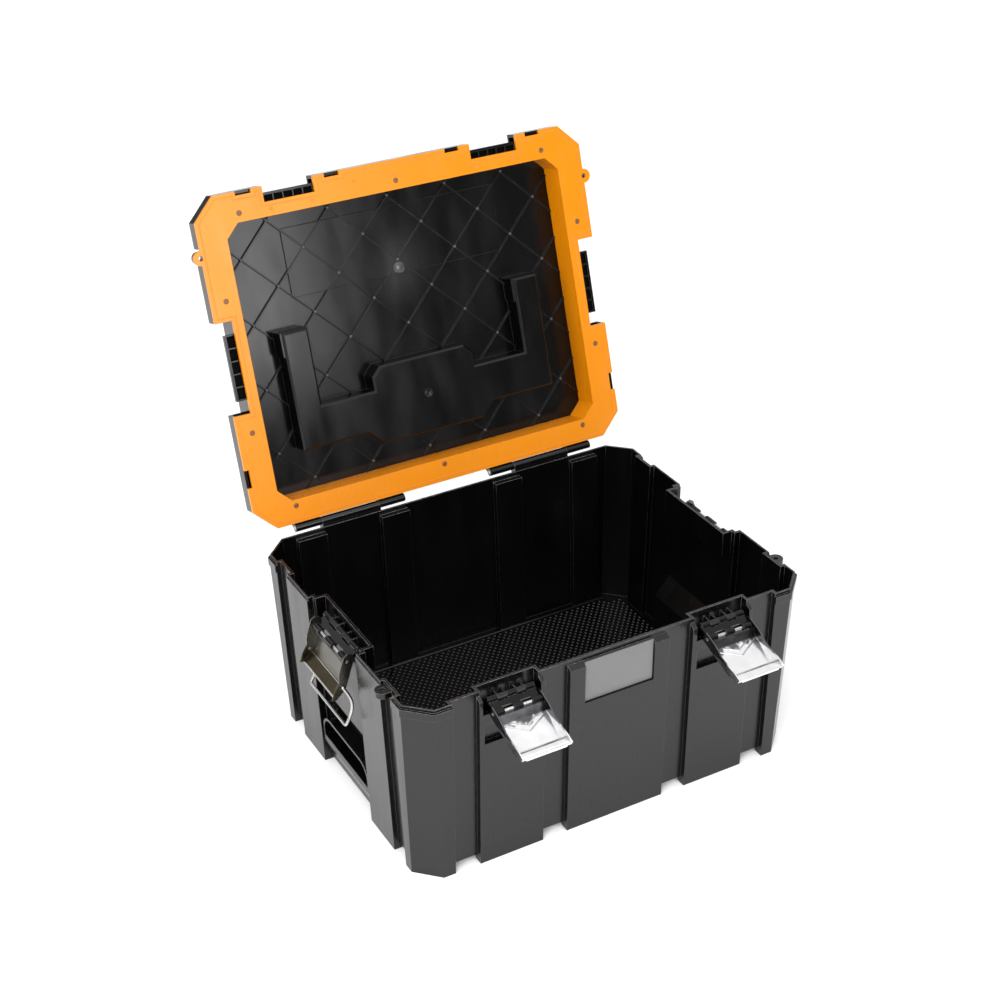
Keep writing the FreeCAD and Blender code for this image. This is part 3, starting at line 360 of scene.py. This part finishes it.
class Maker:
    """Gathers points in millimetres and faces into one piece."""

    def __init__(self):
        self.verts = []
        self.faces = []

    def ring_stack(self, rings, capped=False, joined=False):
        """Joins rings of equally many points; the last one may get a cap or be joined to the first."""
        first = len(self.verts)
        count = len(rings[0])
        for ring in rings:
            self.verts += ring
        for level in range(len(rings) if joined else len(rings) - 1):
            low = first + level * count
            high = first + (level + 1) % len(rings) * count
            for i in range(count):
                k = (i + 1) % count
                self.faces.append((low + i, low + k, high + k, high + i))
        if capped:
            last = first + (len(rings) - 1) * count
            self.faces.append(tuple(range(last, last + count)))

    def lathe(self, centre, profile, sides, up=-1, hollow=False):
        """A turned shape about the vertical through centre, on a face that looks down unless up is 1.

        The profile is (radius, height), from the foot on.
        """
        rings = []
        for radius, height in profile:
            ring = []
            for i in range(sides):
                angle = up * 2 * math.pi * i / sides
                x = centre[0] + radius * math.cos(angle)
                y = centre[1] + radius * math.sin(angle)
                ring.append((x, y, centre[2] + up * height))
            rings.append(ring)
        self.ring_stack(rings, capped=not hollow, joined=hollow)

    def stud(self, x, y, z, foot, top, height):
        """A diamond-shaped stud with sloping sides."""
        rings = []
        for reach, level in ((foot, z), (top, z + height)):
            corners = ((-reach, 0), (0, -reach), (reach, 0), (0, reach))
            rings.append([(x + dx, y + dy, level) for dx, dy in corners])
        self.ring_stack(rings, capped=True)

    def ridge(self, points, width, height):
        """A low three-sided bead along points on a flat face."""
        first = len(self.verts)
        last = len(points) - 1
        for i, (x, y, z) in enumerate(points):
            before = points[max(i - 1, 0)]
            after = points[min(i + 1, last)]
            into = Vector((x - before[0], y - before[1]))
            out = Vector((after[0] - x, after[1] - y))
            into = into.normalized() if into.length else out.normalized()
            out = out.normalized() if out.length else into
            along = (into + out).normalized()
            side = Vector((-along.y, along.x)) * (width / 2 / along.dot(into))
            self.verts += [(x - side.x, y - side.y, z), (x, y, z + height), (x + side.x, y + side.y, z)]
        for i in range(last):
            here = first + 3 * i
            there = here + 3
            for k in (0, 1):
                self.faces.append((here + k + 1, there + k + 1, there + k, here + k))

    def tube(self, path, radius, sides):
        """A round wire along path with closed ends."""
        first = len(self.verts)
        rings = []
        side = Vector((0, 0, 1))
        for i, point in enumerate(path):
            before = path[max(i - 1, 0)]
            after = path[min(i + 1, len(path) - 1)]
            along = (after - before).normalized()
            side = (side - along * along.dot(side)).normalized()
            other = along.cross(side)
            ring = []
            for k in range(sides):
                angle = 2 * math.pi * k / sides
                spoke = radius * (math.cos(angle) * side + math.sin(angle) * other)
                ring.append(tuple(point + spoke))
            rings.append(ring)
        self.ring_stack(rings, capped=True)
        self.faces.append(tuple(reversed(range(first, first + sides))))

    def piece(self, name, mat, body, place=None, smooth=True):
        """Makes the object; one that rides on no body belongs to the stage."""
        mesh = bpy.data.meshes.new(name)
        mesh.from_pydata([Vector(v) * MM for v in self.verts], [], self.faces)
        mesh.update()
        if smooth:
            mesh.shade_smooth()
            mesh.set_sharp_from_angle(angle=math.radians(SHARP_DEG))
        mesh.materials.append(mat)
        obj = bpy.data.objects.new(name, mesh)
        bpy.context.scene.collection.objects.link(obj)
        if place:
            obj.matrix_world = place
        if body:
            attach(obj, body)
        return obj


# Studs on the floor of the tub


def floor_studs():
    """Diamond studs in staggered rows, with a bead along the front and the back."""
    pitch_x, row_y = 7.3, 4.25
    half_x, narrow_x = 201.0, 185.0
    low_y, high_y = -147.2, 151.8
    bay_low, bay_high = 62.0, 145.0
    foot, top, height, sunk = 2.0, 0.7, 0.7, 0.02
    border_gap, border_w, border_h = 3.2, 1.6, 0.8
    studs = Maker()
    for row in range(int((high_y - low_y) / row_y) + 1):
        y = low_y + row * row_y
        for column in range(int(2 * half_x / pitch_x) + 1):
            x = -half_x + column * pitch_x + (pitch_x / 2 if row % 2 else 0)
            beside_grip = abs(x) > narrow_x and not bay_low < abs(y) < bay_high
            if abs(x) > half_x or beside_grip:
                continue
            studs.stud(x, y, TUB_FLOOR_Z - sunk, foot, top, height)
    studs.piece("floor_studs", BLACK, "tub", smooth=False)
    border = Maker()
    for y in (low_y - border_gap, high_y + border_gap):
        border.ridge([(-narrow_x, y, TUB_FLOOR_Z), (narrow_x, y, TUB_FLOOR_Z)], border_w, border_h)
    border.piece("floor_border", BLACK, "tub", smooth=False)


floor_studs()


# Screws and mould marks of the lid

SCREWS = [(x, y) for x in (-204, 204) for y in (-68, 68)]
SCREWS += [(x, y) for x in (-173, 0, 173) for y in (-150.6, 153.6)]
EJECTOR_MARKS = [(-138.8, -148.3), (-93.9, -148.3), (-46, -158.5), (0, -158.5)]
EJECTOR_MARKS += [(46, -158.5), (93.9, -148.3), (138.8, -148.3)]
RING_MARK = (0, 76, BULGE_Z)

# Turned profiles: radius, height over the face
SCREW_HEAD = ((2.0, 0.0), (2.0, 0.1), (1.6, 0.2), (0.9, 0.25), (0.7, 0.12), (0.3, 0.1))
SCREW_SEAT = ((3.0, -0.02), (2.9, 0.06), (2.1, 0.08))
EJECTOR_PROFILE = ((2.4, -0.02), (2.2, 0.2), (1.7, 0.2), (1.5, 0.03))
RIB_DOT = ((1.6, -1.2), (1.6, 0.2), (1.3, 0.45), (0.6, 0.5))
GATE_BOSS = ((7.0, 0.0), (6.6, 3.0), (5.6, 3.9), (3.5, 4.4), (1.2, 4.6))
RING_PROFILE = ((4.6, -0.02), (4.4, 0.25), (3.9, 0.25), (3.7, 0.03))
EYE_SLEEVE = ((2.6, 0.0), (6.6, 0.0), (6.6, 7.0), (2.6, 7.0))

# Section of the frame's border line: distance from the edge, height
BORDER_PROFILE = ((3.2, 0.0), (3.5, 0.2), (4.1, 0.2), (4.4, 0.0))


def lid_screws():
    """The heads of the frame's screws in their seats; the seats are dark orange rings, painted shade of the
    recesses round the heads.
    """
    heads = Maker()
    seat_shades = Maker()
    for x, y in SCREWS:
        heads.lathe((x, y, FRAME_Z), SCREW_HEAD, 20)
        seat_shades.lathe((x, y, FRAME_Z), SCREW_SEAT, 24)
    heads.piece("lid_screw_heads", SCREW_STEEL, "lid", LID_TURN)
    seat_shades.piece("lid_screw_seat_shades", SEAT_SHADE_ORANGE, "lid", LID_TURN)


def inset_loop(points, by):
    """A closed outline moved inwards; the points run anticlockwise."""
    moved = []
    for i, point in enumerate(points):
        here = Vector(point)
        before = (here - Vector(points[i - 1])).normalized()
        after = (Vector(points[(i + 1) % len(points)]) - here).normalized()
        one = Vector((-before.y, before.x))
        two = Vector((-after.y, after.x))
        moved.append(here + (one + two) * (by / (1 + one.dot(two))))
    return moved


def frame_outline():
    """The outer edge of the orange frame without its eyes."""
    half = []
    for x0, x1, deep in FRONT_NOTCHES:
        half += [(x0, -HALF_Y), (x0, deep - HALF_Y), (x1, deep - HALF_Y), (x1, -HALF_Y)]
    half += [(HALF_X - CORNER, -HALF_Y), (HALF_X, CORNER - HALF_Y)]
    for y0, y1, deep in SIDE_NOTCHES:
        half += [(HALF_X, y0), (HALF_X - deep, y0), (HALF_X - deep, y1), (HALF_X, y1)]
    half += [(HALF_X, HALF_Y - CORNER), (HALF_X - CORNER, HALF_Y)]
    return half + [(-x, y) for x, y in reversed(half)]


def frame_marks():
    """The raised border along the frame's edge and the ejector marks, in a darker orange that is painted
    shade along their low relief.
    """
    marks = Maker()
    for x, y in EJECTOR_MARKS:
        marks.lathe((x, y, FRAME_Z), EJECTOR_PROFILE, 24)
    outline = frame_outline()
    loops = []
    for by, proud in BORDER_PROFILE:
        loops.append([(x, y, FRAME_Z - proud) for x, y in inset_loop(outline, by)])
    marks.ring_stack(loops)
    marks.piece("frame_marks", LINE_SHADE_ORANGE, "lid", LID_TURN)


def eye_sleeves():
    """The black eyes of the shell behind the orange ones."""
    sleeves = Maker()
    for x in (-EYE_X, EYE_X):
        sleeves.lathe((x, EYE_Y, EYE_Z), EYE_SLEEVE, 32, up=1, hollow=True)
    sleeves.piece("lid_eye_sleeves", BLACK, "lid", LID_TURN)


def catch_gaps(centre, half, skin):
    """The spans between the ribs of a catch, each smaller by skin at both ends."""
    pitch = (2 * half - CATCH_RIB) / (CATCH_RIBS - 1)
    spans = []
    for i in range(CATCH_RIBS - 1):
        start = centre - half + i * pitch + CATCH_RIB + skin
        end = centre - half + (i + 1) * pitch - skin
        spans.append((start, end))
    return spans


def catch_pocket_shades():
    """Painted shade: dark matt sheets between the ribs of the catches, where the deep pockets lie in
    shadow.
    """
    skin = 0.06
    shade_sheets = Maker()
    for sign in (-1, 1):
        y0, y1 = FRONT_CATCH_Y[0] + skin, FRONT_CATCH_Y[1] - skin
        front_gaps = catch_gaps(sign * FRONT_LATCH_X, FRONT_CATCH_HALF, skin)
        boxes = [(start, end, y0, y1) for start, end in front_gaps]
        x0, x1 = sorted((sign * (SIDE_CATCH_X[0] + skin), sign * (SIDE_CATCH_X[1] - skin)))
        boxes += [(x0, x1, start, end) for start, end in catch_gaps(0, SIDE_CATCH_HALF, skin)]
        for x0, x1, y0, y1 in boxes:
            rings = []
            for z in (CATCH_LOW, CATCH_HIGH - skin):
                rings.append([(x0, y1, z), (x1, y1, z), (x1, y0, z), (x0, y0, z)])
            shade_sheets.ring_stack(rings, capped=True)
    shade_sheets.piece("catch_pocket_shades", POCKET_SHADE_BLACK, "lid", LID_TURN, smooth=False)


def over_handle(x, y):
    """Whether a point lies on or close to the bulge of the handle's recess."""
    arm_in, arm_out, arm_front = 116, 155, -27
    bar_front, bar_back = 55, 108
    finger_half, finger_front, finger_back = 65, 30, 123
    arm = arm_in < abs(x) < arm_out and arm_front < y < bar_back
    bar = abs(x) < arm_out and bar_front < y < bar_back
    room = abs(x) < finger_half and finger_front < y < finger_back
    return arm or bar or room


def lid_bosses():
    """Dots where the ribs cross and the boss at the gate, in a paler black that is a painted highlight of
    their glints.
    """
    columns, rows = range(-5, 6), range(9)
    bosses = Maker()
    for i in columns:
        for j in rows:
            x, y = i * RIB_CROSS_STEP, RIB_CROSS_Y + j * RIB_CROSS_STEP
            if (i + j) % 2 or over_handle(x, y):
                continue
            bosses.lathe((x, y, RIB_Z), RIB_DOT, 16)
    bosses.lathe(GATE, GATE_BOSS, 32)
    bosses.piece("lid_bosses", DOT_HIGHLIGHT_BLACK, "lid", LID_TURN)


def lid_marks():
    """The ring on the bulge of the handle's recess."""
    ring = Maker()
    ring.lathe(RING_MARK, RING_PROFILE, 32)
    ring.piece("lid_marks", LID_BLACK, "lid", LID_TURN)


lid_screws()
frame_marks()
eye_sleeves()
catch_pocket_shades()
lid_bosses()
lid_marks()


# Pressed and rolled details of the levers, in each lever's own axes

CHEVRONS = ((23.0, 13.0, 26.0), (13.5, 12.6, 19.5))  # reach to each side, start and tip along the plate
CHEVRON_W, CHEVRON_H = 1.6, 0.5
LIP_HALF, LIP_START, LIP_STEPS = 24.6, 43.6, 12
LIP_REACH, LIP_RISE = 7.6, 6.4
LIP_SWEEP = 0.62  # share of a half turn
LIP_FLARE, LIP_FLARE_POWER = 0.768446, 1.3
# Painted highlight: paler beads along the side levers' fold and lip edge.
SIDE_HIGHLIGHT_BEADS = ((30.6, -5.3, 0.7), (41.6, 0.6, 1.1))  # along, up, radius
BEAD_HALF = 36.4


def lever_place(origin, yaw, link_deg, lever_deg):
    """Matrix from a lever's own axes, (across, -along, up) from its pin, to the part's frame."""
    angle = math.radians(link_deg)
    pin = Vector((0, LINK_REACH * math.cos(angle), LINK_REACH * math.sin(angle))) * MM
    stand = Matrix.Translation(Vector(origin) * MM) @ Matrix.Rotation(math.radians(yaw), 4, "Z")
    return stand @ Matrix.Translation(pin) @ Matrix.Rotation(math.radians(lever_deg - 180), 4, "X")


def front_lever_details(side, origin):
    """Two chevrons on the plate and the rolled lip."""
    place = lever_place(origin, 0, FRONT_LINK_DEG, FRONT_LEVER_DEG)
    body = f"front_{side}_lever"
    chevron = Maker()
    for reach, near, far in CHEVRONS:
        points = [(-reach, -near, PLATE_V), (0, -far, PLATE_V), (reach, -near, PLATE_V)]
        chevron.ridge(points, CHEVRON_W, CHEVRON_H)
    chevron.piece(f"front_{side}_chevron", LEVER_STEEL, body, place, smooth=False)
    lip = Maker()
    for i in range(LIP_STEPS + 1):
        share = i / LIP_STEPS
        angle = math.pi * (1 - LIP_SWEEP * share)
        along = LIP_START + LIP_REACH * (1 + math.cos(angle)) + LIP_FLARE * share ** LIP_FLARE_POWER
        up = PLATE_V + LIP_RISE * math.sin(angle)
        lip.verts += [(-LIP_HALF, -along, up), (LIP_HALF, -along, up)]
    for i in range(0, 2 * LIP_STEPS, 2):
        lip.faces.append((i, i + 2, i + 3, i + 1))
    lip.piece(f"front_{side}_lip", LEVER_STEEL, body, place)


def side_lever_details(side, origin, yaw):
    """Beads along the fold and the edge of the lip in the paler wire steel: a painted highlight on the
    darker lever.
    """
    place = lever_place(origin, yaw, SIDE_LINK_DEG, SIDE_LEVER_DEG)
    highlight_beads = Maker()
    for along, up, radius in SIDE_HIGHLIGHT_BEADS:
        highlight_beads.tube([Vector((x, -along, up)) for x in (-BEAD_HALF, 0, BEAD_HALF)], radius, 12)
    highlight_beads.piece(f"side_{side}_lever_highlight_beads", WIRE_STEEL, f"side_{side}_lever", place)


for side, sign in (("left", -1), ("right", 1)):
    front_lever_details(side, (sign * FRONT_LATCH_X, FRONT_PIVOT_Y, PIVOT_Z))
    side_lever_details(side, (sign * SIDE_PIVOT_X, 0, PIVOT_Z), sign * 90)


# Wire bails with smooth bends in place of the solids' mitred ones


def rounded(points, radius, steps=6):
    """The path with its sharp corners turned into smooth bends."""
    nearly_straight = 0.9
    path = [points[0]]
    for before, here, after in zip(points, points[1:], points[2:]):
        into = (here - before).normalized()
        out = (after - here).normalized()
        if into.dot(out) > nearly_straight:
            path.append(here)
            continue
        start = here - into * radius
        end = here + out * radius
        for k in range(steps + 1):
            share = k / steps
            path.append(start * (1 - share) ** 2 + here * (2 * share * (1 - share)) + end * share ** 2)
    path.append(points[-1])
    return path


def bails():
    """Both wires: feet in the lever's flanges, bowed arms and a straight bar."""
    hinge = Vector((227.9, 0, 148.65))
    foot, half, drop, bow, steps = 35.8, 41.0, 44.0, 8.0, 10
    wire_r, bend_r, sides = 1.55, 3.0, 14
    arm = []
    for i in range(steps + 1):
        share = i / steps
        arm.append(Vector((-bow * math.sin(math.pi * share), half, -drop * share)))
    side = [Vector((0, foot, 0))] + arm
    path = rounded(side + [Vector((p.x, -p.y, p.z)) for p in reversed(side)], bend_r)
    for name, sign in (("left", -1), ("right", 1)):
        wire = Maker()
        wire.tube([Vector((sign * (p.x + hinge.x), p.y, p.z + hinge.z)) for p in path], wire_r, sides)
        bail = wire.piece(f"side_{name}_bail_wire", WIRE_STEEL, f"side_{name}_bail")
        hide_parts(f"side_{name}_bail")


bails()


# Floor, sky and light

FLOOR_HALF = 9000
SKY_STRENGTH = 1.15

# Grey of the sky by the sine of its elevation: dark near the horizon, for the reflections under the lid
SKY = ((0.0, grey(0.12)), (0.2, grey(0.18)), (0.5, grey(1.0)), (1.0, grey(1.0)))

ground = Maker()
ground.verts = [(x * FLOOR_HALF, y * FLOOR_HALF, GROUND_Z) for x, y in ((-1, -1), (1, -1), (1, 1), (-1, 1))]
ground.faces = [(0, 1, 2, 3)]
ground.piece("floor", PAPER, None, smooth=False)

scene = bpy.context.scene
scene.view_settings.view_transform = "Standard"
world = bpy.data.worlds.new("studio")
scene.world = world
world.use_nodes = True
sky_tree = world.node_tree
background = sky_tree.nodes["Background"]
direction = sky_tree.nodes.new("ShaderNodeTexCoord").outputs["Generated"]
link(sky_tree, ramp(sky_tree, height_of(sky_tree, direction), SKY), background.inputs["Color"])
background.inputs["Strength"].default_value = SKY_STRENGTH


def softbox(name, place, target, size, power):
    light = bpy.data.lights.new(name, "AREA")
    light.shape = "RECTANGLE"
    light.size, light.size_y = size
    light.energy = power
    obj = bpy.data.objects.new(name, light)
    scene.collection.objects.link(obj)
    obj.location = place
    obj.rotation_euler = (Vector(target) - Vector(place)).to_track_quat("-Z", "Y").to_euler()
    return obj


softbox("front_softbox", (0.30, -1.85, 0.95), target=(-0.1, 0.2, 0.4), size=(0.8, 0.8), power=12.8)
key = softbox("key_softbox", (-1.9, -1.65, 1.7), target=(0, 0.1, 0.35), size=(1.4, 1.4), power=62)
softbox("left_softbox", (-2.2, -0.2, 0.9), target=(0, 0, 0.1), size=(1.2, 1.2), power=14)
softbox("top_softbox", (-0.2, -0.5, 2.4), target=(0, 0, 0.1), size=(1.8, 1.4), power=12)

# The key evens the orange frame. It stays out of reflections, which keeps the inside of the tub black.
key.visible_glossy = False


# Camera, fitted to the corners of the tub and the lid in the photograph

CAMERA_PLACE = (-0.78252, -1.37320, 1.18936)
CAMERA_LENS = 66.9
YAW, PITCH, ROLL = (math.radians(a) for a in (28.648, 30.248, 1.066))

forward = Vector((math.sin(YAW) * math.cos(PITCH), math.cos(YAW) * math.cos(PITCH), -math.sin(PITCH)))
right = Vector((math.cos(YAW), -math.sin(YAW), 0))
down = forward.cross(right)
across = math.cos(ROLL) * right + math.sin(ROLL) * down
below = -math.sin(ROLL) * right + math.cos(ROLL) * down
camera = bpy.data.objects.new("camera", bpy.data.cameras.new("camera"))
scene.collection.objects.link(camera)
turn = Matrix((across, -below, -forward)).transposed().to_4x4()
camera.matrix_world = Matrix.Translation(CAMERA_PLACE) @ turn
camera.data.lens = CAMERA_LENS
camera.data.clip_end = 60
scene.camera = camera
